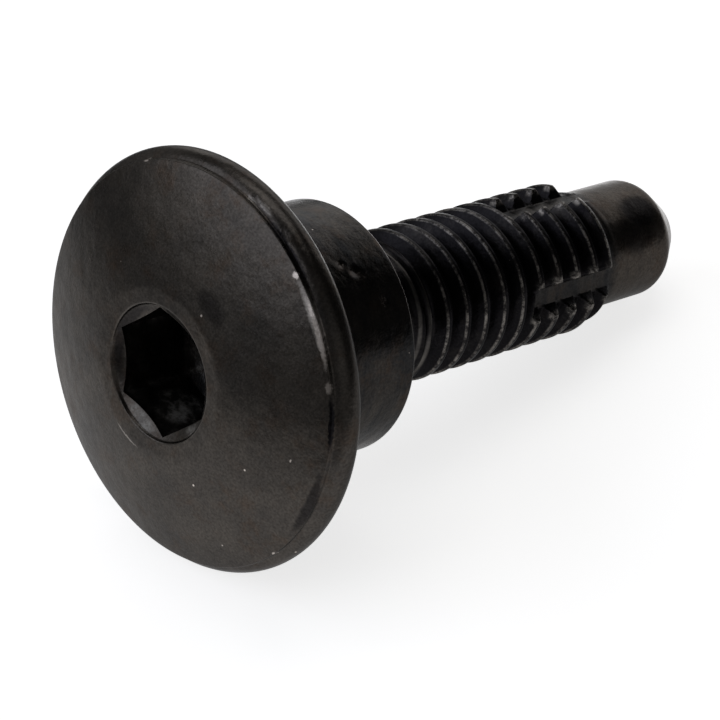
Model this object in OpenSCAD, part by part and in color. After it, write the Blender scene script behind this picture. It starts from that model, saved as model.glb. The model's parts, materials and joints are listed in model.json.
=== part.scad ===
// Shoulder screw with a wide domed head, a hexagon socket, a plain shoulder,
// a slotted thread and a smooth pilot point. One forged and rolled piece of steel,
// lying as it comes to rest: on the rim of its head and the end of its point.

/* [Head] */
// Diameter over the rounded rim
head_d = 15.2; // [14:0.1:18]
// Width of the rounded rim, seen from the front, outside the dome's edge
rim_w = 0.35; // [0.25:0.01:0.6]
// Height of the dome, from its edge to the land round the socket
dome_h = 1.3; // [0.8:0.05:1.8]
// Thickness of the rim, from its front edge to the bearing face
rim_t = 1.28; // [1:0.02:2]
// Height of the fine step from the dome's edge down to the rim
edge_step = 0.08; // [0.03:0.01:0.15]
// Width of the flat land round the socket's mouth
land_w = 0.63; // [0.3:0.01:1]

/* [Socket] */
// Width across the flats of the hexagon
hex_af = 4.1; // [3:0.05:5]
// Depth of the flats below the land
hex_depth = 3.05; // [2:0.05:3.4]
// Reach of the round mouth past the hexagon's corners
mouth_margin = 0.1; // [0.05:0.01:0.3]
// Depth of the round mouth
mouth_depth = 0.2; // [0.1:0.01:0.5]
// Narrowing of the mouth from its edge to its floor
mouth_draft = 0.04; // [0.02:0.01:0.05]
// Angle of the hexagon about the screw's axis
hex_turn = 46; // [0:1:59]
// Depth of the pointed floor below the flats
floor_h = 0.7; // [0.3:0.05:1]

/* [Shoulder] */
// Diameter of the plain shoulder
shoulder_d = 9.3; // [8:0.05:10]
// Length of the shoulder, from the bearing face to its end
shoulder_len = 5.3; // [4.5:0.1:9]
// Broken edge at the end of the shoulder
shoulder_edge = 0.15; // [0.05:0.01:0.4]
// Fillet between the bearing face and the shoulder
root_fillet = 0.3; // [0.1:0.05:0.5]

/* [Thread] */
// Diameter over the thread's crests
thread_d = 5.8; // [5.4:0.05:6]
// Length from the end of the neck to the end of the thread
thread_len = 10.8; // [8:0.1:20]
// Depth of the thread, from its crests to its root
thread_depth = 0.5; // [0.4:0.01:0.6]
// Radial drop from the thread's crests to the neck behind the shoulder
neck_drop = 0.3; // [0.2:0.01:0.5]
// Length of the neck, with the thread's run-out
neck_len = 2.6; // [1.6:0.1:4]
// Pitch of the thread, from crest to crest
thread_pitch = 1; // [0.8:0.05:1.25]
// Width of the flat on the thread's crests
crest_w = 0.15; // [0.1:0.01:0.2]
// Angle between the thread's flanks
flank_angle = 60; // [50:1:65]
// Angle of the thread's start about the screw's axis
thread_turn = 287; // [0:1:359]
// Length over which the thread rises from its root
runout_len = 0.9; // [0.3:0.05:1.5]
// Length of the taper at the thread's end
lead_len = 0.8; // [0.4:0.05:1.5]

/* [Slots] */
// Number of slots along the thread
slot_count = 4; // [3:1:6]
// Width of a slot at its flat floor
slot_w = 0.8; // [0.5:0.05:1]
// Height of a slot's floor above the surface of the point
slot_rise = 0.03; // [0.02:0.01:0.1]
// Lean of a slot's side walls
slot_lean = 29; // [10:1:35]
// Length of a slot, back from the end of the thread
slot_len = 5.1; // [3:0.05:6]
// Angle of the first slot about the screw's axis
slot_turn = -4; // [-45:1:44]

/* [Point] */
// Radial gap between the thread's root and the surface of the point
point_gap = 0.1; // [0.05:0.01:0.3]
// Length of the point beyond the thread
point_len = 3.64; // [2.5:0.02:6]
// Rounding radius at the end of the point
point_round = 0.88; // [0.4:0.02:1.4]

/* [Hidden] */

// Facets of the round faces, and of the large circle that the dome is cut from
smooth_fn = 96;
dome_fn = 384;
// Steps of the thread in one turn, and corners of its ridge on each step
turn_steps = 40;
ridge_corner_count = 4;
// Turns of the thread's helix past each end of the thread
spare_turns = 2;
// Overrun of each cut past the face that it opens
cut_over = 1;
// Steps of the arc in the small fillet under the head
fillet_steps = 4;

head_r = head_d / 2;
face_r = head_r - rim_w;
hex_r = hex_af / 2 / cos(30);
mouth_r = hex_r + mouth_margin;
land_r = mouth_r + land_w;
shoulder_r = shoulder_d / 2;
thread_r = thread_d / 2;
neck_r = thread_r - neck_drop;
root_r = thread_r - thread_depth;
point_r = root_r - point_gap;

// Places along the axis, from the bearing face towards the point
face_z = -rim_t - edge_step;
land_z = face_z - dome_h;
thread_z = shoulder_len + neck_len;
thread_end_z = thread_z + thread_len;
tip_z = thread_end_z + point_len;

// Start and turns of the thread's helix, which overruns the thread at both ends
helix_turns = ceil((thread_len + runout_len) / thread_pitch) + 2 * spare_turns;
helix_z = thread_z - runout_len - spare_turns * thread_pitch;

// Rounding of the rim, from the foot of the step to the bearing face
rim_round = rim_t + rim_w - sqrt(2 * rim_t * rim_w);
rim_c = head_r - rim_round;
rim_z = -rim_round;

// Sphere of the dome, through the edge of the land and the edge of the face
dome_z = face_z + (pow(face_r, 2) - pow(land_r, 2) - pow(dome_h, 2)) / (2 * dome_h);
dome_r = norm([face_r, dome_z - face_z]);

// Centre of the rounding at the end of the point
tip_c = point_r - point_round;
tip_round_z = tip_z - point_round;

// Tilt at which the rim and the point both touch a level surface
support_run = tip_round_z - rim_z;
support_drop = rim_c - tip_c;
support_len = norm([support_run, support_drop]);
rest_tilt = atan2(support_drop, support_run) - asin((point_round - rim_round) / support_len);
rest_h = rim_c * cos(rest_tilt) + rim_z * sin(rest_tilt) + rim_round;

// Reach of the lying screw along X, taken half and half about the origin
reach_front = tip_c * sin(rest_tilt) + tip_round_z * cos(rest_tilt) + point_round;
reach_back = dome_z * cos(rest_tilt) - dome_r;
rest_x = -(reach_front + reach_back) / 2;

// Half of the head's section: dome, step, plate and rounded rim
module head_section() {
    intersection() {
        translate([0, dome_z]) circle(dome_r, $fn = dome_fn);
        translate([0, land_z]) square([head_r, dome_h]);
    }
    translate([0, face_z]) square([face_r, edge_step]);
    translate([0, -rim_t]) square([rim_c, rim_t]);
    intersection() {
        translate([rim_c, rim_z]) circle(rim_round, $fn = smooth_fn);
        translate([0, -rim_t]) square([head_r, 2 * rim_t]);
    }
}

// Half of the shoulder's section, with its fillet and its broken edge
module shoulder_section() {
    fillet = [
        for (i = [0 : fillet_steps])
            let (turn = 90 * i / fillet_steps)
            [shoulder_r + root_fillet * (1 - sin(turn)), root_fillet * (1 - cos(turn))]
    ];
    polygon(concat(
        [[0, face_z / 2], [shoulder_r + root_fillet, face_z / 2]],
        fillet,
        [
            [shoulder_r, shoulder_len - shoulder_edge],
            [shoulder_r - shoulder_edge, shoulder_len],
            [0, shoulder_len]
        ]
    ));
}

// Half of the core's section, from inside the shoulder to the rounded end
module core_section() {
    square([neck_r, thread_z - runout_len]);
    square([point_r, tip_round_z]);
    square([tip_c, tip_z]);
    translate([tip_c, tip_round_z]) circle(point_round, $fn = smooth_fn);
}

// Share of the full thread depth at a place along the axis, from none to one
function thread_rise(z) = max(0, min(
    1,
    (z - thread_z + runout_len) / runout_len,
    (thread_end_z - z) / lead_len
));

// Corners of the thread's ridge on one turn step: root, crest, crest, root
function ridge_corners(i) = let (
    flank_w = thread_depth * tan(flank_angle / 2),
    turn = thread_turn + 360 * i / turn_steps,
    z = helix_z + thread_pitch * i / turn_steps,
    crest_r = root_r + thread_depth * thread_rise(z),
    corners = [
        [root_r, -crest_w / 2 - flank_w],
        [crest_r, -crest_w / 2],
        [crest_r, crest_w / 2],
        [root_r, crest_w / 2 + flank_w]
    ]
) [for (c = corners) [c[0] * cos(turn), c[0] * sin(turn), z + c[1]]];

// The threaded length as one helical solid, longer than needed at both ends
module helix() {
    steps = helix_turns * turn_steps;
    ridge = [for (i = [0 : steps]) each ridge_corners(i)];
    start_axis = len(ridge);
    end_axis = start_axis + 1;
    ends = [[0, 0, ridge[0][2]], [0, 0, ridge[len(ridge) - 1][2]]];
    at = function (i, corner) ridge_corner_count * i + corner;
    sides = [
        for (i = [0 : steps - 1], corner = [0 : ridge_corner_count - 2])
            each [
                [at(i, corner), at(i, corner + 1), at(i + 1, corner + 1)],
                [at(i, corner), at(i + 1, corner + 1), at(i + 1, corner)]
            ]
    ];
    roots = [
        for (i = [0 : steps - turn_steps - 1])
            each [
                [at(i, 3), at(i + turn_steps, 0), at(i + turn_steps + 1, 0)],
                [at(i, 3), at(i + turn_steps + 1, 0), at(i + 1, 3)]
            ]
    ];
    start_fan = [for (i = [0 : turn_steps - 1]) [start_axis, at(i, 0), at(i + 1, 0)]];
    start_step = [[start_axis, at(turn_steps, 0), at(0, 3), at(0, 2), at(0, 1), at(0, 0)]];
    last = steps - turn_steps;
    end_fan = [for (i = [last : steps - 1]) [end_axis, at(i + 1, 3), at(i, 3)]];
    end_step = [[end_axis, at(last, 3), at(steps, 0), at(steps, 1), at(steps, 2), at(steps, 3)]];
    polyhedron(concat(ridge, ends), concat(sides, roots, start_fan, start_step, end_fan, end_step));
}

// The rolled thread, cut square at both ends and slotted towards the point
module thread() {
    difference() {
        intersection() {
            helix();
            translate([0, 0, thread_z - runout_len])
                cylinder(r = shoulder_r, h = thread_len + runout_len, $fn = smooth_fn);
        }
        for (i = [0 : slot_count - 1])
            rotate(slot_turn + 360 * i / slot_count) slot_cut();
    }
}

// Room taken by one slot, from its flat floor outwards, with leaning walls
module slot_cut() {
    floor_x = point_r + slot_rise;
    reach = thread_r + cut_over;
    half_mouth = slot_w / 2 + (reach - floor_x) * tan(slot_lean);
    translate([0, 0, thread_end_z - slot_len])
        linear_extrude(slot_len + cut_over)
            polygon([
                [floor_x, -slot_w / 2],
                [reach, -half_mouth],
                [reach, half_mouth],
                [floor_x, slot_w / 2]
            ]);
}

// Room taken by the hexagon socket: flats, round mouth and pointed floor
module socket_cut() {
    floor_z = land_z + hex_depth;
    mouth_lean = mouth_draft / mouth_depth;
    mouth_open_r = mouth_r + mouth_lean * cut_over;
    mouth_floor_r = mouth_r - mouth_draft;
    rotate(hex_turn)
        translate([0, 0, land_z - cut_over])
            cylinder(r = hex_r, h = hex_depth + cut_over, $fn = 6);
    translate([0, 0, land_z - cut_over])
        cylinder(r1 = mouth_open_r, r2 = mouth_floor_r, h = mouth_depth + cut_over, $fn = smooth_fn);
    translate([0, 0, floor_z])
        cylinder(d1 = hex_af, d2 = 0, h = floor_h, $fn = smooth_fn);
}

// The screw on its own axis, with the bearing face at zero and the point upwards
module upright_screw() {
    difference() {
        rotate_extrude($fn = smooth_fn) {
            head_section();
            shoulder_section();
            core_section();
        }
        socket_cut();
    }
    thread();
}

// The screw as it lies on a level surface
module screw() {
    color("#2e2b2a")
        translate([rest_x, 0, rest_h])
            rotate([0, 90 + rest_tilt, 0])
                upright_screw();
}

screw();
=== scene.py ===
"""Looks of a blackened steel shoulder screw that lies on a pale studio floor.

The screw is one forged and rolled piece, so it is one mesh. A blank is turned row by row along its
section, a node tree rolls the thread and its slots into it, and one black oxide finish dresses it.
Lengths in the classes are in millimetres, in the screw's own frame: z runs along the axis from the
bearing face under the head (0) towards the point, and x points down as the screw lies.
"""

import json
import logging
from dataclasses import dataclass, field
from enum import Enum
from functools import partial
from math import atan2, cos, degrees, hypot, pi, radians, sin, sqrt, tan

import bpy
import numpy as np
from mathutils import Matrix, Vector

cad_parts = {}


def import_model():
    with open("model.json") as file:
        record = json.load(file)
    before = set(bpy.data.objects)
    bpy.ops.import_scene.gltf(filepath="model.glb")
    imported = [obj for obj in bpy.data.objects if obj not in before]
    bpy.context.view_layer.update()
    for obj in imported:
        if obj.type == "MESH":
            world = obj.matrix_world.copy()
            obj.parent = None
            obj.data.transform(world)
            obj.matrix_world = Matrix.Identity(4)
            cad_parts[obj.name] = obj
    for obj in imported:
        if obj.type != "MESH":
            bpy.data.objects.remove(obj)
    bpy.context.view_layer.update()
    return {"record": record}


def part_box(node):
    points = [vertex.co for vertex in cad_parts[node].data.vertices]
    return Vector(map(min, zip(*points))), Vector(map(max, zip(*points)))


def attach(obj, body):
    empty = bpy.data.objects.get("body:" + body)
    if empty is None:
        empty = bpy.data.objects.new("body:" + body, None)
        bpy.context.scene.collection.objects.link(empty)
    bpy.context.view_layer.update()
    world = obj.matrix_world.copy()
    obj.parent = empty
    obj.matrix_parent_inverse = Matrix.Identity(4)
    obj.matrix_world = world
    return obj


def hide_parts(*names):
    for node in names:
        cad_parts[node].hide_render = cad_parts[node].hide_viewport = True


log = logging.getLogger("screw")

MM = 0.001
BODY = "root"
NODE = "screw"
COLUMN_DEG = 1.25
SHARP_DEG = 32.0
WELD_MM = 0.0002
WHITE = (1.0, 1.0, 1.0, 1.0)
ATTRIBUTES = ("turn", "lead", "rolled")


def linear(hex_colour: str) -> tuple[float, float, float, float]:
    """Turns an sRGB hex colour into linear light.

    Args:
        hex_colour: Six hex digits after a hash sign.

    Returns:
        Red, green, blue and an alpha of one.
    """
    parts = [int(hex_colour[i : i + 2], 16) / 255 for i in (1, 3, 5)]
    light = [c / 12.92 if c <= 0.04045 else ((c + 0.055) / 1.055) ** 2.4 for c in parts]
    return (light[0], light[1], light[2], 1.0)


def add_node(
    tree: bpy.types.NodeTree, kind: str, feeds: dict | list | tuple = (), **settings
) -> bpy.types.Node:
    """Adds one node with its settings and what feeds its inputs.

    Args:
        tree: The tree that gets the node.
        kind: Blender's name for the kind of node.
        feeds: What feeds the inputs, in their order or by name or number: a value, a socket, or a
            node, whose first output it takes.
        settings: Properties of the node.

    Returns:
        The new node.
    """
    node = tree.nodes.new(kind)
    for name, value in settings.items():
        setattr(node, name, value)
    for key, feed in (feeds if isinstance(feeds, dict) else dict(enumerate(feeds))).items():
        if isinstance(feed, bpy.types.Node):
            feed = feed.outputs[0]
        if isinstance(feed, bpy.types.NodeSocket):
            tree.links.new(feed, node.inputs[key])
        else:
            node.inputs[key].default_value = feed
    return node


@dataclass
class Row:
    """One turn of the blank's section: a ring of points about the axis.

    A rolled row has a lead, which is its place along the thread in pitches, counted from a crest.
    """

    radius: float | np.ndarray
    z: float | np.ndarray
    lead: float | None = None


def arc(
    centre: tuple[float, float], radius: float, start: float, end: float, steps: int
) -> list[Row]:
    """Rows along a round stretch of the section.

    Args:
        centre: Distance from the axis and place along it of the arc's centre.
        radius: Radius of the arc.
        start: Angle of the first row in degrees, from straight outwards towards the point.
        end: Angle of the last row.
        steps: Number of steps from the first row to the last.

    Returns:
        The rows in order.
    """
    turns = [radians(a) for a in np.linspace(start, end, steps + 1)]
    return [Row(centre[0] + radius * cos(t), centre[1] + radius * sin(t)) for t in turns]


def straight(start: tuple[float, float], end: tuple[float, float], steps: int) -> list[Row]:
    """Rows along a straight stretch of the section, both ends included.

    Args:
        start: Distance from the axis and place along it of the first row.
        end: The same for the last row.
        steps: Number of steps from the first row to the last.

    Returns:
        The rows in order.
    """
    run = (end[0] - start[0], end[1] - start[1])
    return [Row(start[0] + s * run[0], start[1] + s * run[1]) for s in np.linspace(0, 1, steps + 1)]


@dataclass(frozen=True)
class Seat:
    """How the screw lies in the row's frame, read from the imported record's mounts."""

    origin: Vector
    along: Vector
    mounts: dict

    @classmethod
    def from_record(cls, record: dict) -> "Seat":
        """Finds the screw's axis and the middle of its bearing face.

        Args:
            record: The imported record.

        Returns:
            The seat.
        """
        mounts = {m["name"]: m for m in record["mounts"]}
        along = Vector(mounts["shoulder"]["axis"]).normalized()
        on_axis = Vector(mounts["shoulder"]["pos_m"])
        under_head = Vector(mounts["under_head"]["pos_m"])
        return cls(on_axis + along * (under_head - on_axis).dot(along), along, mounts)

    def station(self, mount: str) -> float:
        """Place of a mount along the screw's axis, in millimetres."""
        return (Vector(self.mounts[mount]["pos_m"]) - self.origin).dot(self.along) / MM

    def dim(self, mount: str, name: str) -> float:
        """One measured size of a mount, in millimetres."""
        return self.mounts[mount]["dims"][name]

    def matrix(self) -> Matrix:
        """From the screw's own frame, in metres, to the row's frame."""
        side = Vector((0, 1, 0))
        turn = Matrix((side.cross(self.along), side, self.along)).transposed()
        return Matrix.Translation(self.origin) @ turn.to_4x4()


@dataclass
class Socket:
    """The hexagon socket: pointed floor, six flats, a conical lead-in and a shallow round mouth."""

    land_z: float
    across_flats: float = 4.1
    depth: float = 3.05
    mouth_margin: float = 0.1
    mouth_depth: float = 0.13
    cone_deg: float = 30.0
    mouth_draft: float = 0.04
    mouth_edge: float = 0.06
    floor_depth: float = 0.7
    turn_deg: float = 46.0
    wall_rows: tuple[float, ...] = (0.0, 0.03, 0.35, 0.7, 0.97, 1.0)
    cone_rows: tuple[float, ...] = (0.1, 0.5, 0.9)

    @property
    def mouth_r(self) -> float:
        """Radius of the round mouth, a little outside the hexagon's corners."""
        return self.across_flats / 2 / cos(radians(30)) + self.mouth_margin

    def flat_r(self, turn: np.ndarray) -> np.ndarray:
        """Distance of the flats from the axis at each angle, in degrees."""
        from_middle = np.mod(turn - self.turn_deg, 60) - 30
        return self.across_flats / 2 / np.cos(np.radians(from_middle))

    def rows(self, turn: np.ndarray) -> list[Row]:
        """Rows from the middle of the floor out to the edge of the mouth.

        Args:
            turn: Angle of each column, in degrees.

        Returns:
            The rows in order.
        """
        floor_z = self.land_z + self.depth
        ledge_z = self.land_z + self.mouth_depth
        ledge_r = self.mouth_r - self.mouth_draft
        flats = self.flat_r(turn)
        rows = straight((0, floor_z + self.floor_depth), (self.across_flats / 2, floor_z), 6)
        brow_z = ledge_z + tan(radians(self.cone_deg)) * (ledge_r - flats)
        for share in self.wall_rows:
            rows.append(Row(flats, floor_z + share * (brow_z - floor_z)))
        for share in self.cone_rows:
            rows.append(Row(flats + share * (ledge_r - flats), brow_z + share * (ledge_z - brow_z)))
        edge_c = (self.mouth_r + self.mouth_edge, self.land_z + self.mouth_edge)
        return [
            *rows,
            *straight((ledge_r, ledge_z), (self.mouth_r, edge_c[1]), 2)[:-1],
            *arc(edge_c, self.mouth_edge, 180, 270, 4),
        ]


@dataclass
class Head:
    """The wide domed head, from the mouth of its socket to the bearing face."""

    radius: float
    mouth_r: float
    land_z: float
    rim_w: float = 0.35
    rim_t: float = 1.18
    edge_step: float = 0.18
    lip: float = 0.05
    step_fillet: float = 0.1
    land_start: float = 0.1
    land_w: float = 0.63

    @property
    def face_r(self) -> float:
        """Radius of the dome's edge."""
        return self.radius - self.rim_w

    @property
    def face_z(self) -> float:
        """Place of the dome's edge along the axis."""
        return -self.rim_t - self.edge_step

    def rows(self) -> list[Row]:
        """Rows over the land, the dome, its lip, the step and the rounded rim to the bearing face.

        Returns:
            The rows in order.
        """
        land_r = self.mouth_r + self.land_w
        rise = self.face_z - self.land_z
        dome_z = self.face_z + (self.face_r**2 - land_r**2 - rise**2) / (2 * rise)
        dome_r = hypot(self.face_r, dome_z - self.face_z)
        start = -degrees(atan2(dome_z - self.land_z, land_r))
        end = -degrees(atan2(dome_z - self.face_z, self.face_r))
        rim_r = self.rim_t + self.rim_w - sqrt(2 * self.rim_t * self.rim_w)
        rim_start = -degrees(atan2(self.rim_t - rim_r, rim_r - self.rim_w))
        lip_run = self.lip * tan(radians(-end) / 2)
        step_run = self.step_fillet * tan(radians(-rim_start) / 2)
        lip_c = (self.face_r - self.lip, self.face_z + lip_run)
        step_c = (self.face_r + self.step_fillet, -self.rim_t - step_run)
        rim_c = (self.radius - rim_r, -rim_r)
        return [
            *straight((self.mouth_r + self.land_start, self.land_z), (land_r, self.land_z), 4),
            *arc((0, dome_z), dome_r, start, end - degrees(lip_run / dome_r), 22)[1:],
            *arc(lip_c, self.lip, end, 0, 4)[1:],
            *arc(step_c, self.step_fillet, 180, 180 + rim_start, 4),
            *arc(rim_c, rim_r, rim_start + degrees(step_run / rim_r), 90, 26)[1:],
        ]


@dataclass
class Shoulder:
    """The plain turned shoulder, from the bearing face to its square end."""

    radius: float
    length: float
    root_fillet: float = 0.3
    edge: float = 0.15

    def rows(self) -> list[Row]:
        """Rows over the fillet, the wall and the broken edge.

        Returns:
            The rows in order.
        """
        fillet = self.root_fillet
        edge_z = self.length - self.edge
        return [
            *arc((self.radius + fillet, fillet), fillet, 270, 180, 6),
            *straight((self.radius, fillet), (self.radius, edge_z), 40)[1:],
            *arc((self.radius - self.edge, edge_z), self.edge, 0, 90, 5)[1:],
        ]


@dataclass
class Thread:
    """The rolled thread between the neck and the point, with the slots along its end."""

    start: float
    end: float
    pitch: float = 1.0
    crest_r: float = 2.9
    root_r: float = 2.4
    neck_r: float = 2.5
    point_r: float = 2.3
    crest_w: float = 0.18
    flank_deg: float = 60.0
    rounding: float = 0.16
    run_in: float = 1.6
    lip_spread: float = 0.32
    lead_out: float = 1.3
    collar: float = 0.05
    first_crest: float = 9.54
    first_turn_deg: float = 142.9
    slot_count: int = 4
    slot_turn_deg: float = -4.0
    slot_len: float = 5.1
    slot_rise: float = 0.03
    slot_foot_deg: float = 8.0
    slot_brow_deg: float = 16.5
    slot_end: float = 0.2
    slot_softness: float = 0.2
    crest_rows: tuple[float, ...] = (0.0, 0.5, 0.85, 1.2)
    flank_rows: tuple[float, ...] = (0.2, 0.45, 0.7, 0.88, 1.0)
    root_rows: tuple[float, ...] = (0.62, 0.3, 0.0)

    @property
    def flank_w(self) -> float:
        """Width of one flank along the axis."""
        return (self.crest_r - self.root_r) * tan(radians(self.flank_deg / 2))

    def crest_at(self, turn_deg: float) -> float:
        """Place along the axis of a crest at that angle."""
        return self.first_crest + self.pitch * (turn_deg - self.first_turn_deg) / 360

    def rows(self, seam_deg: float) -> list[Row]:
        """Rows that wind up along the thread, more than it needs at both ends.

        Args:
            seam_deg: Angle of the first column, in degrees.

        Returns:
            The rows in order.
        """
        half_crest = self.crest_w / 2
        half_pitch = self.pitch / 2
        crest = half_crest * np.array(self.crest_rows)
        flank = half_crest + self.flank_w * np.array(self.flank_rows)
        root = half_pitch - (half_pitch - half_crest - self.flank_w) * np.array(self.root_rows)
        half = np.concatenate([crest, flank, root]) / self.pitch
        section = np.concatenate([half, 1 - half[-2:0:-1]])
        zero = self.crest_at(seam_deg)
        first = int(np.floor((self.start - zero) / self.pitch)) - 1
        last = int(np.ceil((self.end - zero) / self.pitch))
        leads = [n + s for n in range(first, last + 1) for s in section]
        return [Row(self.neck_r, zero + self.pitch * lead, lead) for lead in leads]


@dataclass
class Point:
    """The smooth pilot point beyond the thread, with its conical nose."""

    radius: float
    start: float
    round_z: float
    rounding: float = 0.72
    cone_deg: float = 37.0
    nose_len: float = 1.63
    nose_round: float = 0.35

    def rows(self) -> list[Row]:
        """Rows along the point's wall, over its rounded brow, down its nose and in to the axis.

        Returns:
            The rows in order.
        """
        cone = radians(self.cone_deg)
        corner_z = self.round_z + self.rounding * tan(cone / 2)
        end_z = self.round_z + self.nose_len
        nose_z = end_z - self.nose_round
        nose_r = self.radius - (self.nose_round + sin(cone) * (nose_z - corner_z)) / cos(cone)
        brow = arc((self.radius - self.rounding, self.round_z), self.rounding, 0, self.cone_deg, 8)
        nose = arc((nose_r, nose_z), self.nose_round, self.cone_deg, 90, 6)
        return [
            *straight((self.radius, self.start), (self.radius, self.round_z), 8)[:-1],
            *brow,
            *straight((brow[-1].radius, brow[-1].z), (nose[0].radius, nose[0].z), 4)[1:-1],
            *nose,
            *straight((nose_r, end_z), (0, end_z), 3)[1:],
        ]


class RollingTree:
    """The node tree that rolls the thread and its slots into a blank."""

    def __init__(self, thread: Thread, seam_deg: float, finish: bpy.types.Material) -> None:
        """Builds the tree.

        Args:
            thread: Sizes of the thread and its slots.
            seam_deg: Angle of the blank's first column, in degrees.
            finish: Material that the tree sets at its end.
        """
        self.values: dict[str, float] = {}
        self.tree = bpy.data.node_groups.new("roll_thread", "GeometryNodeTree")
        self.add = partial(add_node, self.tree)
        for name, way in (("Blank", "INPUT"), ("Screw", "OUTPUT")):
            self.tree.interface.new_socket(name=name, in_out=way, socket_type="NodeSocketGeometry")
        self._name_inputs(thread, seam_deg)
        self.given = self.tree.nodes.new("NodeGroupInput").outputs
        rolled = self._roll()
        real = self.add("GeometryNodeRealizeInstances", [rolled])
        dressed = {"Geometry": real, "Material": finish}
        dressed = self.add("GeometryNodeSetMaterial", dressed)
        self.add("NodeGroupOutput", [dressed])

    def _name_inputs(self, t: Thread, seam_deg: float) -> None:
        """Adds the tree's named inputs and keeps the value of each.

        Args:
            t: Sizes of the thread and its slots.
            seam_deg: Angle of the blank's first column, in degrees.
        """
        sizes = {
            "Pitch": t.pitch,
            "Crest at seam": t.crest_at(seam_deg),
            "Start": t.start,
            "End": t.end,
            "Run in": t.run_in,
            "Lip spread": t.lip_spread,
            "Lead out": t.lead_out,
            "Crest radius": t.crest_r,
            "Root radius": t.root_r,
            "Neck radius": t.neck_r,
            "Collar radius": t.point_r + t.collar,
            "Foot": t.crest_w / 2 + t.flank_w,
            "Flank": t.flank_w,
            "Slot floor": t.point_r + t.slot_rise,
            "Slot start": t.end - t.slot_len,
            "Slot end": t.slot_end,
            "Slot softness": t.slot_softness,
        }
        plain = {
            "Seam turn": radians(seam_deg),
            "Rounding": t.rounding,
            "Slot turn": radians(t.slot_turn_deg),
            "Slot half step": pi / t.slot_count,
            "Slot foot turn": radians(t.slot_foot_deg),
            "Slot brow turn": radians(t.slot_brow_deg),
        }
        face = self.tree.interface
        for name, value in ({n: v * MM for n, v in sizes.items()} | plain).items():
            socket = face.new_socket(name=name, in_out="INPUT", socket_type="NodeSocketFloat")
            self.values[socket.identifier] = value

    def _rolled_radius(self, lead: bpy.types.Node, z: bpy.types.Node) -> bpy.types.Node:
        """Distance of the rolled surface from the axis, from the run-in to the collar.

        Where the thread runs in, the crest is not full yet. It stands up as two lips there, which
        close later.

        Args:
            lead: Node that gives the place along the thread, in pitches from a crest.
            z: Node that gives the place along the axis.

        Returns:
            The node that gives the distance.
        """
        add = self.add
        given = self.given
        risen = add("ShaderNodeMath", [given["Start"], given["Run in"]], operation="ADD")
        rise = [z, given["Start"], risen]
        rise = add("ShaderNodeMapRange", rise, interpolation_type="SMOOTHSTEP")

        lip = {"Value": rise, "To Min": given["Lip spread"], "To Max": 0.0}
        lip = add("ShaderNodeMapRange", lip)
        off = lead
        for operation, by in (("PINGPONG", 0.5), ("MULTIPLY", given["Pitch"]), ("SUBTRACT", lip)):
            off = add("ShaderNodeMath", [off, by], operation=operation)
        off = add("ShaderNodeMath", [off], operation="ABSOLUTE")
        slope = add("ShaderNodeMath", [given["Foot"], off], operation="SUBTRACT")
        height = add("ShaderNodeMath", [slope, given["Flank"]], operation="DIVIDE")
        for operation, limit in (("SMOOTH_MIN", 1.0), ("SMOOTH_MAX", 0.0)):
            height = add("ShaderNodeMath", [height, limit, given["Rounding"]], operation=operation)
        full = {"Value": height, "To Min": given["Root radius"], "To Max": given["Crest radius"]}
        full = add("ShaderNodeMapRange", full, clamp=False)
        grown = {"Value": rise, "To Min": given["Neck radius"], "To Max": full}
        grown = add("ShaderNodeMapRange", grown)

        last = add("ShaderNodeMath", [given["End"], given["Lead out"]], operation="SUBTRACT")
        fall = add("ShaderNodeMapRange", [z, last, given["End"]], interpolation_type="SMOOTHSTEP")
        ended = {"Value": fall, "To Min": grown, "To Max": given["Collar radius"]}
        return add("ShaderNodeMapRange", ended)

    def _slotted_radius(
        self, radius: bpy.types.Node, angle: bpy.types.Node, z: bpy.types.Node
    ) -> bpy.types.Node:
        """Lowers the surface to the flat floors of the slots, with soft brows at their sides.

        Args:
            radius: Node that gives the distance of the rolled surface from the axis.
            angle: Node that gives the angle about the axis.
            z: Node that gives the place along the axis.

        Returns:
            The node that gives the lowered distance.
        """
        add = self.add
        given = self.given
        aside = angle
        for operation, name in (("SUBTRACT", "Slot turn"), ("PINGPONG", "Slot half step")):
            aside = add("ShaderNodeMath", [aside, given[name]], operation=operation)
        flat = add("ShaderNodeMath", [aside], operation="COSINE")
        flat = add("ShaderNodeMath", [given["Slot floor"], flat], operation="DIVIDE")
        clear = [given["Crest radius"], given["Slot softness"]]
        clear = add("ShaderNodeMath", clear, operation="ADD")
        wall = [aside, given["Slot foot turn"], given["Slot brow turn"], flat, clear]
        wall = add("ShaderNodeMapRange", wall, interpolation_type="SMOOTHSTEP")
        opened = add("ShaderNodeMath", [given["Slot start"], given["Slot end"]], operation="ADD")
        limit = [z, given["Slot start"], opened, clear, wall]
        limit = add("ShaderNodeMapRange", limit, interpolation_type="SMOOTHSTEP")
        lowered = [radius, limit, given["Slot softness"]]
        return add("ShaderNodeMath", lowered, operation="SMOOTH_MIN")

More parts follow.
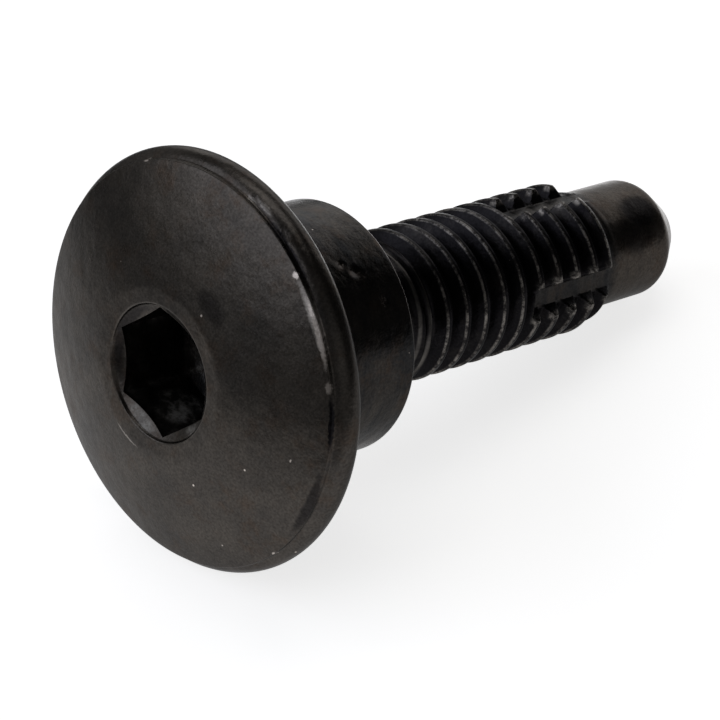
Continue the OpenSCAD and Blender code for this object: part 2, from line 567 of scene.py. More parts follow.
    def _roll(self) -> bpy.types.Node:
        """Winds the rolled rows up the helix and gives them the thread's section and the slots.

        Returns:
            The node that gives the welded, rolled mesh.
        """
        add = self.add
        given = self.given
        turn, lead, rolled = (
            add("GeometryNodeInputNamedAttribute", {"Name": name}, data_type="FLOAT")
            for name in ATTRIBUTES
        )
        wound = add("ShaderNodeMath", [turn, lead], operation="ADD")
        free_z = [wound, given["Pitch"], given["Crest at seam"]]
        free_z = add("ShaderNodeMath", free_z, operation="MULTIPLY_ADD")
        z = add("ShaderNodeClamp", {"Value": free_z, "Min": given["Start"], "Max": given["End"]})
        angle = add("ShaderNodeMath", [turn, 2 * pi, given["Seam turn"]], operation="MULTIPLY_ADD")
        radius = self._slotted_radius(self._rolled_radius(lead, z), angle, z)
        place = {"Z": z}
        for axis, operation in (("X", "COSINE"), ("Y", "SINE")):
            way = add("ShaderNodeMath", [angle], operation=operation)
            place[axis] = add("ShaderNodeMath", [way, radius], operation="MULTIPLY")
        place = add("ShaderNodeCombineXYZ", place)
        moved = {"Geometry": given["Blank"], "Selection": rolled, "Position": place}
        moved = add("GeometryNodeSetPosition", moved)
        return add("GeometryNodeMergeByDistance", {"Geometry": moved, "Distance": WELD_MM * MM})

    def apply(self, blank: bpy.types.Object, name: str) -> bpy.types.Object:
        """Runs the tree on a blank and keeps the result as a plain mesh.

        Args:
            blank: The object that holds the blank, which becomes the finished one.
            name: Name of the finished object.

        Returns:
            The finished object.
        """
        rolling = blank.modifiers.new("roll_thread", "NODES")
        rolling.node_group = self.tree
        for identifier, value in self.values.items():
            rolling[identifier] = value
        graph = bpy.context.evaluated_depsgraph_get()
        mesh = bpy.data.meshes.new_from_object(blank.evaluated_get(graph))
        blank.modifiers.remove(rolling)
        old = blank.data
        blank.data = mesh
        bpy.data.meshes.remove(old)
        blank.name = name
        mesh.name = name
        return blank


class MarkKind(Enum):
    """What wear has left at one place of the black skin; some marks are painted shade instead."""

    CHIP = "bare steel where the skin has come off"
    RUB = "skin that is rubbed thin and polished"
    DENT = "a dent that still has its skin"
    # Mostly painted shade: dark bands in the step at the dome's edge and on the socket's cone, and a
    # painted reflection across the point.
    PAINTED_SHADE_AND_STAIN = "skin that is thicker and darker than round it"
    DUST = "dry residue that does not mirror"


class Fold(Enum):
    """How several shares at one place become one share."""

    MOST = "MAXIMUM"
    PRODUCT = "MULTIPLY"


@dataclass(frozen=True)
class Mark:
    """One mark of wear, placed by its angle, its distance from the axis and its place along it.

    The half sizes run round the axis, outwards and along it.
    """

    kind: MarkKind
    turn_deg: float
    radius: float
    z: float
    half_size: tuple[float, float, float]
    share: float = 1.0


@dataclass(frozen=True)
class Patches:
    """Noise that becomes a share: its size and detail, the levels it is cut at and the shares there.

    A seed moves the noise along a fourth axis, so that it is unlike the others.
    """

    size_mm: float
    detail: float
    roughness: float
    low: float = 0.0
    high: float = 1.0
    least: float = 0.0
    most: float = 1.0
    seed: float = 0.0


@dataclass(frozen=True)
class WornEdge:
    """A turned edge whose skin is rubbed all the way round, in patches."""

    radius: float
    z: float
    width: float
    share: float

    @property
    def patches(self) -> Patches:
        """Patches of the rubbing, ten times as long as the edge is wide."""
        return Patches(10 * self.width, 4.0, 0.7, 0.35, 0.7, 0.25)


@dataclass(frozen=True)
class Relief:
    """One layer of fine relief in the skin, drawn out round the screw by a share below one."""

    size_mm: float
    depth_mm: float
    detail: float
    roughness: float = 0.5
    strength: float = 1.0
    drawn: float = 1.0


@dataclass(frozen=True)
class BlackOxide:
    """Hot black oxide on cold-forged carbon steel, oiled, with rubbed edges.

    The bath leaves a thin dark skin that still mirrors like metal. The eye sees a satin near-black,
    warm brown where the skin is thin and blue-black where it is thick, with pale steel on its
    rubbed edges. Its grain is drawn about twice as coarse as on the real screw, so that it shows
    in the picture. The thread's darker skin is partly painted shade of its deep grooves, the line
    along its crests is partly a painted highlight, and most dark stain marks are painted shade.
    """

    thin: str = "#534e49"
    thick: str = "#313132"
    # Darker on the thread, partly as painted shade of its deep grooves and dark surroundings; the
    # painted shade marks take this colour too.
    rolled: str = "#1e1d1f"
    foxed: str = "#4a3d33"
    rubbed: str = "#8e8984"
    bare: str = "#d8cec6"
    dust: str = "#8f8d88"
    grazing: str = "#d8d8d8"
    polish: float = 0.1
    ragged_mm: float = 0.07
    dent_bump_mm: float = 0.02
    rim_fade_mm: float = 0.7
    thin_share: float = 0.42
    cloud_share: float = 0.5
    # The point is laid lighter than the shank.
    point_lightening: float = 1.5
    point_fox: float = 0.15
    slot_floor_mm: float = 0.04
    slot_floor_dark: float = 0.25
    cloud_dark: tuple[float, float] = (0.55, 0.7)
    streak_start_mm: tuple[float, float] = (-0.4, 0.2)
    streak_drawn: float = 0.3
    # The line along the crests is partly a painted highlight on the crest's lit edge.
    crest_rub_and_highlight_mm: tuple[float, float] = (0.2, 0.12)
    crest_line: tuple[float, float] = (0.055, 0.02)
    brow_rub_mm: tuple[float, float] = (0.3, 0.12)
    brow_rub_deg: float = 3.5
    # The faint dust over all the socket's walls is partly painted fill light.
    wall_dust_and_fill_light: tuple[float, float] = (0.12, 0.5)
    corner_deg: float = 5.0
    dust_mouth_mm: float = 0.02
    dust_start_mm: float = 0.15
    dust_fade_mm: float = 0.2
    lint_mm: float = 0.9
    lint_size: tuple[float, float] = (0.06, 0.03)
    lint_left_out: float = 0.6
    clouds: Patches = Patches(2.2, 8.0, 0.68, 0.34, 0.66)
    streaks: Patches = Patches(0.5, 6.0, 0.7, 0.35, 0.65, -0.3, 0.3)
    fox: Patches = Patches(1.1, 6.0, 0.7, 0.52, 0.72, most=0.7, seed=3.0)
    speckle: Patches = Patches(0.09, 2.0, 0.5, 0.3, 0.7, 0.75, 1.25)
    specks: Patches = Patches(0.3, 6.0, 0.8, 0.45, 0.58, 0.1)
    spells: Patches = Patches(1.8, 2.0, 0.5, 0.38, 0.6, 0.35)
    residue: Patches = Patches(0.6, 7.0, 0.75, 0.46, 0.62, 0.12)
    smear: Patches = Patches(0.8, 4.0, 0.5, 0.0, 1.0, 0.22, 0.38)
    reliefs: tuple[Relief, ...] = (
        Relief(0.09, 0.007, 4.0, 0.65),
        Relief(0.7, 0.03, 2.0),
        Relief(0.22, 0.01, 3.0, strength=0.6, drawn=0.25),
    )


class OxideTree:
    """The node tree that lays the black skin over the screw and wears it."""

    def __init__(self, finish: BlackOxide, seat: Seat, socket: Socket, thread: Thread) -> None:
        """Starts the material with the places that its patterns follow.

        Args:
            finish: Colours and sizes of the skin.
            seat: How the screw lies, which turns the patterns with it.
            socket: Sizes of the socket.
            thread: Sizes of the thread and its slots.
        """
        self.finish = finish
        self.socket = socket
        self.thread = thread
        self.material = bpy.data.materials.new("black_oxide_forged_steel")
        self.material.use_nodes = True
        self.material.node_tree.nodes.clear()
        add = self.add = partial(add_node, self.material.node_tree)
        back = seat.matrix().inverted()
        place = add("ShaderNodeTexCoord").outputs["Object"]
        own = {"Vector": place, "Location": back.translation / MM}
        own |= {"Rotation": back.to_euler(), "Scale": (1 / MM,) * 3}
        self.own = add("ShaderNodeMapping", own)
        part = add("ShaderNodeSeparateXYZ", [self.own]).outputs
        self.z = part["Z"]
        flat = add("ShaderNodeVectorMath", [self.own, (1.0, 1.0, 0.0)], operation="MULTIPLY")
        self.radius = add("ShaderNodeVectorMath", [flat], operation="LENGTH").outputs["Value"]
        self.turn = add("ShaderNodeMath", [part["Y"], part["X"]], operation="ARCTAN2")
        round_axis = add("ShaderNodeCombineXYZ", {"X": self.turn, "Y": self.radius, "Z": self.z})
        reach = 2 * finish.ragged_mm
        fray = {"Vector": self.own, "Scale": 1 / reach, "Detail": 2.0}
        fray = add("ShaderNodeTexNoise", fray).outputs["Color"]
        fray = add("ShaderNodeVectorMath", [fray, (0.5, 0.5, 0.5)], operation="SUBTRACT")
        # The angle is frayed as a length at a radius of 5 mm.
        fray = [fray, (reach / 5, reach, reach), round_axis]
        self.frayed = add("ShaderNodeVectorMath", fray, operation="MULTIPLY_ADD")
        # Where the head, the neck and the thread end, and half the length of each blend.
        past = []
        for z, blend in ((0.0, 0.2), (thread.start, 0.5), (thread.end, 0.3)):
            past.append(add("ShaderNodeMapRange", [self.z, z - blend, z + blend]))
        past_head, past_neck, self.on_point = past
        on_shoulder = [past_head, past_neck]
        self.on_shoulder = add("ShaderNodeMath", on_shoulder, operation="SUBTRACT")
        on_thread = [past_neck, self.on_point]
        self.on_thread = add("ShaderNodeMath", on_thread, operation="SUBTRACT")

    def _mark(self, mark: Mark) -> bpy.types.Node:
        """Share of one mark at each place, with a ragged edge.

        Args:
            mark: The mark.

        Returns:
            The node that gives the share.
        """
        size = mark.half_size
        scale = (mark.radius / size[0], 1 / size[1], 1 / size[2])
        centre = (radians(mark.turn_deg), mark.radius, mark.z)
        shift = tuple(-c * k for c, k in zip(centre, scale))
        near = {"Vector": self.frayed, "Location": shift, "Scale": scale}
        near = self.add("ShaderNodeMapping", near)
        near = self.add("ShaderNodeVectorMath", [near], operation="LENGTH").outputs["Value"]
        full_at = 0.0 if mark.kind is MarkKind.DENT else 0.5
        share = [near, 1.0, full_at, 0.0, mark.share]
        return self.add("ShaderNodeMapRange", share, interpolation_type="SMOOTHSTEP")

    def _fold(self, fold: Fold, *shares: bpy.types.Node) -> bpy.types.Node:
        """One share from several at each place.

        Args:
            fold: How they become one.
            shares: Nodes that each give a share.

        Returns:
            The node that gives the one share.
        """
        one = shares[0]
        for share in shares[1:]:
            one = self.add("ShaderNodeMath", [one, share], operation=fold.value)
        return one

    def _patches(self, patches: Patches, vector: bpy.types.Node | None = None) -> bpy.types.Node:
        """Share that comes and goes in patches.

        Args:
            patches: Size, detail and levels of the patches.
            vector: Node that gives the places to use, or none for the screw's own.

        Returns:
            The node that gives the share.
        """
        noise = {"Vector": vector or self.own, "Scale": 1 / patches.size_mm}
        noise |= {"Detail": patches.detail, "Roughness": patches.roughness}
        if patches.seed:
            noise["W"] = patches.seed
        axes = "4D" if patches.seed else "3D"
        noise = self.add("ShaderNodeTexNoise", noise, noise_dimensions=axes)
        share = [noise, patches.low, patches.high, patches.least, patches.most]
        return self.add("ShaderNodeMapRange", share)

    def _lay(
        self,
        colour: bpy.types.NodeSocket | tuple[float, float, float, float],
        layers: list[tuple[bpy.types.Node, str]],
    ) -> bpy.types.NodeSocket:
        """Lays layers over a colour, each by its share.

        Args:
            colour: The colour at the bottom.
            layers: For each layer the node that gives its share, and its colour.

        Returns:
            The socket that gives the colour on top.
        """
        for share, tint in layers:
            mixed = {0: share, 6: colour, 7: linear(tint)}
            colour = self.add("ShaderNodeMix", mixed, data_type="RGBA").outputs[2]
        return colour

    def _worn_edge(self, edge: WornEdge) -> bpy.types.Node:
        """Share of the wear along one turned edge, in patches.

        Args:
            edge: The edge.

        Returns:
            The node that gives the share.
        """
        add = self.add
        at = add("ShaderNodeCombineXYZ", {"X": self.radius, "Y": self.z})
        far = [at, (edge.radius, edge.z, 0.0)]
        far = add("ShaderNodeVectorMath", far, operation="DISTANCE").outputs["Value"]
        near = [far, edge.width, edge.width / 4, 0.0, edge.share]
        near = add("ShaderNodeMapRange", near, interpolation_type="SMOOTHSTEP")
        return self._fold(Fold.PRODUCT, near, self._patches(edge.patches))

    def _thread_wear_and_highlight(self) -> bpy.types.Node:
        """Share of the wear on the thread's crests, strongest where they end at the slots.

        The line along the crests is partly a painted highlight on their lit edge.

        Returns:
            The node that gives the share.
        """
        add = self.add
        finish = self.finish
        t = self.thread
        along = [self.z, t.crest_at(0.0), t.crest_at(0.0) + t.pitch]
        along = add("ShaderNodeMapRange", along, clamp=False)
        wound = add("ShaderNodeMath", [self.turn, -1 / (2 * pi), along], operation="MULTIPLY_ADD")
        phase = add("ShaderNodeMath", [wound, 0.5, -0.5], operation="WRAP")
        # The rubbed line runs along the edge of the crest on the head's side, where the crest
        # catches the light, so it is partly a painted highlight.
        off_line = add("ShaderNodeMath", [phase, t.crest_w / 2 / t.pitch], operation="ADD")
        off_line = add("ShaderNodeMath", [off_line], operation="ABSOLUTE")
        aside = add("ShaderNodeMath", [self.turn, radians(t.slot_turn_deg)], operation="SUBTRACT")
        aside = add("ShaderNodeMath", [aside, pi / t.slot_count], operation="PINGPONG")
        brow = t.slot_brow_deg
        ramps = []
        for value, low, high in (
            (self.radius, *[t.crest_r - depth for depth in finish.crest_rub_and_highlight_mm]),
            (off_line, *finish.crest_line),
            (aside, radians(brow + finish.brow_rub_deg), radians(brow)),
            (self.radius, *[t.crest_r - depth for depth in finish.brow_rub_mm]),
        ):
            ramp = [value, low, high]
            ramps.append(add("ShaderNodeMapRange", ramp, interpolation_type="SMOOTHSTEP"))
        slot_z = t.end - t.slot_len
        slotted = add("ShaderNodeMapRange", [self.z, slot_z, slot_z + t.slot_end])
        rubbed = self._fold(Fold.PRODUCT, self._patches(finish.specks), self.on_thread)
        line = self._fold(Fold.PRODUCT, *ramps[:2], rubbed, self._patches(finish.spells))
        brow = self._fold(Fold.PRODUCT, *ramps[2:], rubbed, slotted)
        return self._fold(Fold.MOST, line, brow)

    def _skin(self, painted_shade_and_stains: bpy.types.Node) -> bpy.types.NodeSocket:
        """Colour of the unworn skin: thick or thin in clouds, thin on the head and lighter on the
        point.

        The thread is laid darker, partly as painted shade of its deep grooves, and the painted shade
        marks take the same dark colour.

        Args:
            painted_shade_and_stains: Node that gives the share of each stain mark and of the painted
                shade.

        Returns:
            The socket that gives the colour.
        """
        add = self.add
        finish = self.finish
        clouds = self._patches(finish.clouds)
        head = add("ShaderNodeMapRange", [self.z, 0.0, -finish.rim_fade_mm])
        # Paler on the head, where the skin is thin, and lighter on the point.
        paler = [self.on_point, finish.point_lightening, head]
        paler = add("ShaderNodeMath", paler, operation="MULTIPLY_ADD")
        share = add("ShaderNodeMath", [paler, finish.thin_share], operation="MULTIPLY")
        share = add("ShaderNodeMath", [clouds, finish.cloud_share, share], operation="MULTIPLY_ADD")
        drawn = {"Vector": self.own, "Scale": (finish.streak_drawn, finish.streak_drawn, 1.0)}
        streaks = self._patches(finish.streaks, add("ShaderNodeMapping", drawn))
        start, full = finish.streak_start_mm
        turned = add("ShaderNodeMapRange", [self.z, start, full])
        share = [streaks, turned, share]
        share = add("ShaderNodeMath", share, operation="MULTIPLY_ADD", use_clamp=True)
        fox = [self.on_point, finish.point_fox, self._patches(finish.fox)]
        fox = add("ShaderNodeMath", fox, operation="MULTIPLY_ADD")
        # The thread is laid darker, partly as painted shade of its deep grooves and dark
        # surroundings, less so on the slot floors.
        root = self.thread.root_r
        off_floor = [self.radius, root - finish.slot_floor_mm, root, finish.slot_floor_dark]
        off_floor = add("ShaderNodeMapRange", off_floor)
        patchy = [clouds, finish.cloud_dark[0], 1.0, 1.0, finish.cloud_dark[1]]
        patchy = add("ShaderNodeMapRange", patchy)
        rolled = self._fold(Fold.PRODUCT, self.on_thread, off_floor, patchy)
        layers = [(share, finish.thin), (fox, finish.foxed)]
        # The painted shade marks take the thread's dark colour too.
        layers += [(rolled, finish.rolled), (painted_shade_and_stains, finish.rolled)]
        skin = [self._lay(linear(finish.thick), layers), self._patches(finish.speckle)]
        return add("ShaderNodeVectorMath", skin, operation="MULTIPLY").outputs["Vector"]

    def _relief(self, dents: bpy.types.Node) -> bpy.types.Node:
        """Grain and waves of the forged skin, fine turning lines and the dents.

        Args:
            dents: Node that gives the share of the dents.

        Returns:
            The bump node.
        """
        add = self.add
        under = {}
        for layer in self.finish.reliefs:
            drawn = {"Vector": self.own, "Scale": (layer.drawn, layer.drawn, 1.0)}
            grain = {"Vector": add("ShaderNodeMapping", drawn), "Scale": 1 / layer.size_mm}
            grain |= {"Detail": layer.detail, "Roughness": layer.roughness}
            grain = add("ShaderNodeTexNoise", grain)
            bump = {"Height": grain.outputs["Fac"], "Distance": layer.depth_mm * MM}
            bump |= {"Strength": layer.strength, **under}
            under = {"Normal": add("ShaderNodeBump", bump)}
        dented = {"Height": dents, "Strength": 1.0, "Distance": self.finish.dent_bump_mm * MM}
        return add("ShaderNodeBump", dented | under, invert=True)

    def _socket_dust_and_fill_light(self) -> bpy.types.Node:
        """Share of the dust on the socket's walls, most in the corners between the flats.

        The faint share over all the walls is partly painted fill light in the socket.

        Returns:
            The node that gives the share.
        """
        add = self.add
        finish = self.finish
        s = self.socket
        half_flat = radians(30)
        aside = add("ShaderNodeMath", [self.turn, radians(s.turn_deg)], operation="SUBTRACT")
        aside = add("ShaderNodeMath", [aside, half_flat], operation="PINGPONG")
        share = [aside, radians(finish.corner_deg), 0.0, *finish.wall_dust_and_fill_light]
        shares = [add("ShaderNodeMapRange", share)]
        fade = finish.dust_fade_mm
        brow_z = s.land_z + s.mouth_depth + finish.dust_start_mm
        end_z = s.land_z + s.depth + s.floor_depth + fade
        for value, low, high in (
            (self.radius, s.mouth_r + finish.dust_mouth_mm, s.mouth_r - finish.dust_mouth_mm),
            (self.z, brow_z, brow_z + fade),
            (self.z, end_z + fade, end_z),
        ):
            shares.append(add("ShaderNodeMapRange", [value, low, high]))
        return self._fold(Fold.PRODUCT, *shares)

    def _lint(self) -> bpy.types.Node:
        """Share of the sparse bright specks where lint or a knock shows bare metal.

        Returns:
            The node that gives the share.
        """
        add = self.add
        finish = self.finish
        cells = {"Vector": self.own, "Scale": 1 / finish.lint_mm}
        cells = add("ShaderNodeTexVoronoi", cells).outputs
        edge, core = finish.lint_size
        speck = add("ShaderNodeMapRange", [cells["Distance"], edge, core])
        few = add("ShaderNodeSeparateColor", [cells["Color"]])
        few = add("ShaderNodeMath", [few, finish.lint_left_out], operation="GREATER_THAN")
        return self._fold(Fold.PRODUCT, speck, few)

    def build(self, marks: list[Mark], edges: list[WornEdge]) -> bpy.types.Material:
        """Builds the material.

        Args:
            marks: Single marks of wear.
            edges: Turned edges that are rubbed.

        Returns:
            The material.
        """
        add = self.add
        finish = self.finish
        worn = {}
        for kind in MarkKind:
            worn[kind] = self._fold(Fold.MOST, *[self._mark(m) for m in marks if m.kind is kind])
        rubs = [worn[MarkKind.RUB], self._thread_wear_and_highlight(), *[self._worn_edge(e) for e in edges]]
        # Dust in patches; the faint dust over the socket's walls is partly painted fill light.
        dust = self._fold(Fold.MOST, worn[MarkKind.DUST], self._socket_dust_and_fill_light())
        residue = self._fold(Fold.PRODUCT, dust, self._patches(finish.residue))
        layers = [
            (self._fold(Fold.MOST, *rubs), finish.rubbed),
            (self._fold(Fold.MOST, worn[MarkKind.CHIP], self._lint()), finish.bare),
            (residue, finish.dust),
        ]
        clean = add("ShaderNodeMath", [1.0, residue], operation="SUBTRACT")
        gloss = [self.on_shoulder, -finish.polish, self._patches(finish.smear)]
        gloss = add("ShaderNodeMath", gloss, operation="MULTIPLY_ADD")
        shader = {"Base Color": self._lay(self._skin(worn[MarkKind.PAINTED_SHADE_AND_STAIN]), layers)}
        shader |= {"Metallic": clean, "Roughness": gloss, "Specular Tint": linear(finish.grazing)}
        shader["Normal"] = self._relief(worn[MarkKind.DENT])
        shader = add("ShaderNodeBsdfPrincipled", shader)
        add("ShaderNodeOutputMaterial", {"Surface": shader})
        return self.material


@dataclass
class Screw:
    """The whole screw: it turns the blank, rolls it and dresses it."""

    seat: Seat
    head_r: float
    finish: BlackOxide = field(default_factory=BlackOxide)
    neck_len: float = 1.75
    dent_depth: float = 0.06
    dents_turn_deg: float = -140.0
    dents_reach_deg: float = 15.0
    slot_margin_deg: float = 4.0

    def __post_init__(self) -> None:
        """Sizes the sub-assemblies from the seat's mounts."""
        seat = self.seat
        land_z = seat.station("socket")
        wall = seat.dim("pilot_point", "length_mm") / 2
        point_start = seat.station("pilot_point") - wall
        shoulder_len = seat.station("shoulder_end")
        self.socket = Socket(land_z)
        self.head = Head(self.head_r, self.socket.mouth_r, land_z)
        self.shoulder = Shoulder(seat.dim("shoulder", "r_mm"), shoulder_len)
        point_r = seat.dim("pilot_point", "r_mm")
        self.thread = Thread(shoulder_len + self.neck_len, point_start, point_r=point_r)
        self.point = Point(point_r, point_start, seat.station("pilot_point") + wall)

    def columns(self) -> np.ndarray:
        """Angles of the blank's columns, once round from a corner of the socket.

        They lie closer at the slots and the dents.

        Returns:
            The angles, in degrees.
        """
        steps = np.arange(round(360 / COLUMN_DEG) + 1)
        turn = self.socket.turn_deg + COLUMN_DEG * steps
        t = self.thread
        keep = steps % 2 == 0
        for middle, every, reach in (
            (t.slot_turn_deg, 360 / t.slot_count, t.slot_brow_deg + self.slot_margin_deg),
            (self.dents_turn_deg, 360, self.dents_reach_deg),
        ):
            keep |= np.abs(np.mod(turn - middle + every / 2, every) - every / 2) < reach
        return turn[keep]

    def dented(self, radius: np.ndarray, z: np.ndarray, turn: np.ndarray) -> np.ndarray:
        """Presses the dents of the shoulder into the blank.

        Args:
            radius: Distance of each point from the axis, row by row.
            z: Place of each point along the axis.
            turn: Angle of each column, in degrees.

        Returns:
            The distances with the dents.
        """
        pressed = radius.copy()
        for mark in self.marks():
            if mark.kind is MarkKind.DENT and mark.z > 0:
                size = mark.half_size
                aside = np.radians(np.mod(turn - mark.turn_deg + 180, 360) - 180)
                aside *= mark.radius / size[0]
                out = (radius - mark.radius) / size[1]
                near = np.sqrt(aside**2 + out**2 + ((z - mark.z) / size[2]) ** 2)
                share = np.clip(1 - near, 0, 1)
                pressed -= self.dent_depth * share**2 * (3 - 2 * share)
        return pressed

    def blank(self) -> bpy.types.Object:
        """Turns the blank, open along its seam, with the rows that the thread needs.

        Returns:
            The blank, in the screw's own frame.
        """
        turn = self.columns()
        share = (turn - turn[0]) / 360
        neck_z = self.shoulder.length
        rows = [
            *self.socket.rows(turn),
            *self.head.rows(),
            *self.shoulder.rows(),
            *straight((self.thread.neck_r, neck_z), (self.thread.neck_r, self.thread.start), 6),
            *self.thread.rows(self.socket.turn_deg),
            *self.point.rows(),
        ]
        radius = np.array([np.broadcast_to(row.radius, turn.shape) for row in rows])
        z = np.array([np.broadcast_to(row.z, turn.shape) for row in rows])
        radius = self.dented(radius, z, turn)
        angle = np.radians(turn)
        spots = np.stack([radius * np.cos(angle), radius * np.sin(angle), z], axis=2)
        wide = len(turn)
        corner = np.arange(len(rows) - 1)[:, None] * wide + np.arange(wide - 1)[None, :]
        round_face = [corner, corner + 1, corner + wide + 1, corner + wide]
        faces = np.stack(round_face, axis=2).reshape(-1, 4)
        mesh = bpy.data.meshes.new("blank")
        mesh.from_pydata(spots.reshape(-1, 3) * MM, [], faces)
        lead = np.array([[row.lead or 0.0] for row in rows])
        rolled = np.array([[row.lead is not None] for row in rows])
        for name, value in zip(ATTRIBUTES, (share, lead, rolled)):
            layer = mesh.attributes.new(name, "FLOAT", "POINT")
            value = np.broadcast_to(value, z.shape).astype(np.float32)
            layer.data.foreach_set("value", value.ravel())
        made = bpy.data.objects.new("blank", mesh)
        bpy.context.scene.collection.objects.link(made)
        return made

    def marks(self) -> list[Mark]:
        """Marks of wear where the photograph shows them; some are painted shade, a painted
        reflection and a painted highlight.

        Returns:
            The marks.
        """
        edge_r = self.head.face_r
        edge_z = self.head.face_z
        side_r = self.shoulder.radius
        point_r = self.point.radius
        flat_r = self.socket.across_flats / 2
        cone = (flat_r + 0.25, self.head.land_z + 0.22)
        found = {
            MarkKind.CHIP: [
                (151, edge_r + 0.02, edge_z + 0.03, (0.17, 0.1, 0.2), 0.75),
                (-142.5, edge_r - 0.1, edge_z - 0.03, (0.16, 0.12, 0.2), 0.7),
                (-126, edge_r - 0.08, edge_z, (1.5, 0.13, 0.3), 0.7),
                (-111, edge_r - 0.08, edge_z, (0.25, 0.14, 0.2), 0.5),
                (-85.8, 6.06, -1.85, (0.07, 0.06, 0.2), 0.7),
                (-51.3, edge_r, edge_z, (0.11, 0.09, 0.2), 0.7),
            ],
            MarkKind.RUB: [
                (-163, edge_r + 0.18, -1.12, (0.5, 0.12, 0.18), 0.75),
                (-168, edge_r + 0.08, -1.2, (0.25, 0.1, 0.15), 0.5),
                (-130, edge_r - 0.1, edge_z, (1.6, 0.2, 0.3), 1.0),
                # A rubbed arc on the land's edge, laid on the side that faces the light, so partly a
                # painted highlight.
                (19, 3.22, self.head.land_z, (0.75, 0.05, 0.2), 0.8),
            ],
            MarkKind.DENT: [
                (-151, side_r, 3.05, (0.2, 0.5, 0.14)),
                (-146, side_r, 3.5, (0.3, 0.5, 0.32)),
                (-130, side_r, 4.2, (0.3, 0.5, 0.12)),
                (-154, edge_r + 0.2, -1.1, (0.4, 0.3, 0.2)),
                (-167, edge_r + 0.15, -1.12, (0.25, 0.3, 0.2)),
            ],
            MarkKind.PAINTED_SHADE_AND_STAIN: [
                # Painted shade: dark bands in the step between the dome's edge and the rim, where
                # shade falls.
                (-150, edge_r + 0.06, edge_z + 0.1, (2.6, 0.12, 0.2), 0.9),
                (-101, edge_r - 0.02, edge_z, (1.2, 0.1, 0.2), 1.0),
                (-74, edge_r - 0.12, edge_z - 0.06, (1.8, 0.24, 0.3), 0.7),
                (-152, 3.9, -2.5, (0.9, 0.5, 0.4), 0.5),
                # Painted reflection: a dark band across the point, where it mirrors the dark side of
                # the room.
                (-148, point_r, 20.6, (1.0, 0.6, 1.2), 0.85),
                (-128, point_r, 19.9, (1.0, 0.6, 1.4), 0.6),
                # Painted shade on the socket's cone, on the side that the light does not reach.
                (106, *cone, (2.4, 0.3, 0.3), 0.7),
            ],
            MarkKind.DUST: [
                (12, flat_r, -0.9, (1.1, 0.6, 1.2), 0.9),
                (18, *cone, (0.9, 0.3, 0.25), 0.6),
                (-52, *cone, (0.5, 0.3, 0.25), 0.6),
            ],
        }
        return [Mark(kind, *place) for kind, places in found.items() for place in places]

    def edges(self) -> list[WornEdge]:
        """Turned edges that are rubbed all the way round.

        Returns:
            The edges.
        """
        # The middle of a rounded edge lies 0.3 of its radius inside the sharp corner.
        inside = 0.3 * self.shoulder.edge
        t = self.thread
        return [
            WornEdge(self.shoulder.radius - inside, self.shoulder.length - inside, 0.07, 0.8),
            WornEdge(self.socket.mouth_r + 0.02, self.socket.land_z + 0.02, 0.08, 0.2),
            WornEdge(t.neck_r + 0.1, t.start + 0.55, 0.12, 0.6),
            WornEdge(t.neck_r + 0.2, t.start + 0.95, 0.12, 0.6),
        ]

    def build(self) -> bpy.types.Object:
        """Makes the finished screw in its place in the row's frame.

        Returns:
            The screw's object.
        """
        skin = OxideTree(self.finish, self.seat, self.socket, self.thread)
        material = skin.build(self.marks(), self.edges())
        tree = RollingTree(self.thread, self.socket.turn_deg, material)
        made = tree.apply(self.blank(), "shoulder_screw")
        mesh = made.data
        mesh.transform(self.seat.matrix())
        for name in ATTRIBUTES:
            if name in mesh.attributes:
                mesh.attributes.remove(mesh.attributes[name])
        mesh.shade_smooth()
        mesh.set_sharp_from_angle(angle=radians(SHARP_DEG))
        return made


@dataclass(frozen=True)
class SoftBox:
    """A soft box that faces the screw, placed by its direction from it."""

    name: str
    azimuth_deg: float
    elevation_deg: float
    width_mm: float
    height_mm: float
    level: float
    colour: str
    distance_mm: float = 300.0

    def hang(self) -> None:
        """Hangs the soft box, as bright as white paper at a level of one."""
        lamp = bpy.data.lights.new(self.name, "AREA")
        lamp.shape = "RECTANGLE"
        lamp.size = self.width_mm * MM
        lamp.size_y = self.height_mm * MM
        lamp.energy = self.level * pi * lamp.size * lamp.size_y
        lamp.color = linear(self.colour)[:3]
        made = bpy.data.objects.new(self.name, lamp)
        bpy.context.scene.collection.objects.link(made)
        a = radians(self.azimuth_deg)
        e = radians(self.elevation_deg)
        way = Vector((cos(a) * cos(e), sin(a) * cos(e), sin(e)))
        made.location = way * self.distance_mm * MM
        made.rotation_euler = way.to_track_quat("Z", "Y").to_euler()


@dataclass(frozen=True)
class PaintedFloorSpot:
    """A round spot on the floor that only reflections see, full inside a share of its radius.

    Each one is painted light or painted shade on the board.
    """

    place_mm: tuple[float, float, float]
    radius_mm: float
    core: float
    level: float

    def share(self, tree: bpy.types.NodeTree, place: bpy.types.NodeSocket) -> bpy.types.Node:
        """Level of the spot at each place.

        Args:
            tree: The floor's node tree.
            place: Socket that gives the place on the floor.

        Returns:
            The node that gives the level.
        """
        off = [place, Vector(self.place_mm) * MM]
        off = add_node(tree, "ShaderNodeVectorMath", off, operation="DISTANCE").outputs["Value"]
        radius = self.radius_mm * MM
        share = [off, radius, self.core * radius, 0.0, self.level]
        return add_node(tree, "ShaderNodeMapRange", share)


